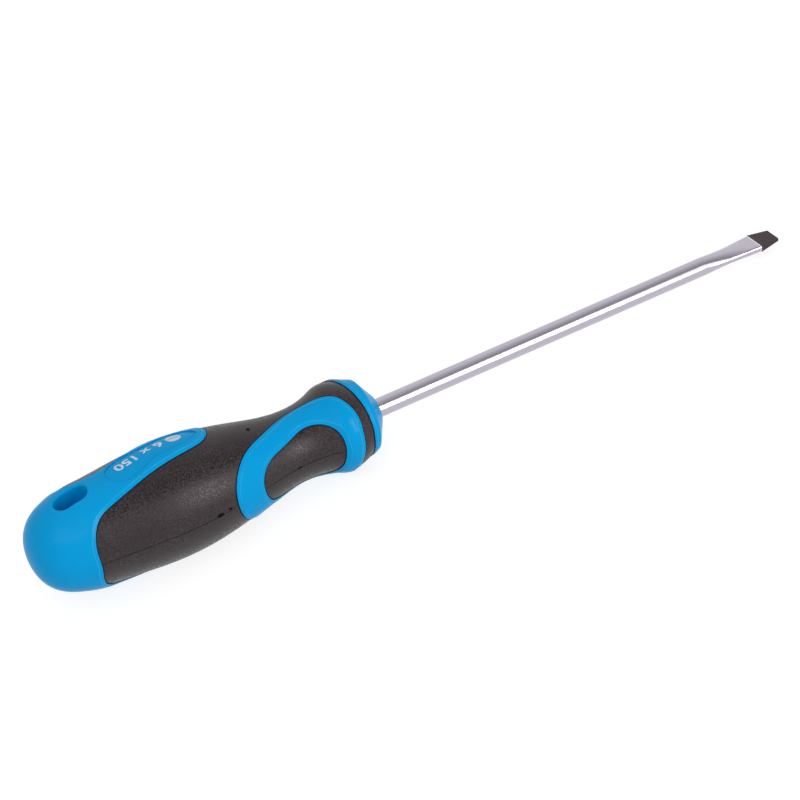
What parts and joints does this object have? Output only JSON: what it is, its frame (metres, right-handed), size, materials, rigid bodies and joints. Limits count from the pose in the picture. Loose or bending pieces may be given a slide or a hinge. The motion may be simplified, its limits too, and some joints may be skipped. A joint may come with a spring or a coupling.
{
  "type": "slotted screwdriver",
  "caption": "Slotted screwdriver with a round steel blade, ground flat tip and two-colour moulded handle with soft grip and hanging slot.",
  "frame": {"origin": "centre of the end face of the blade's ground tip", "axes": "+X along the blade from the butt of the handle to the tip, +Z towards the upper tongue and square to the flats of the tip, -Y towards the thumb rest"},
  "size_m": [0.267, 0.0358, 0.0366],
  "materials": {
    "blade": "satin chrome, with a dark ground tip",
    "core_insert": "matt",
    "handle_body": "semi-gloss",
    "soft_grip": "matt, lightly textured",
    "grip_inlay": "matt, lightly textured"
  },
  "bodies": {
    "root": {"blade": "blade", "core_insert": "core_insert", "handle_body": "handle_body", "soft_grip": "soft_grip", "grip_inlay": "grip_inlay"}
  },
  "joints": []
}
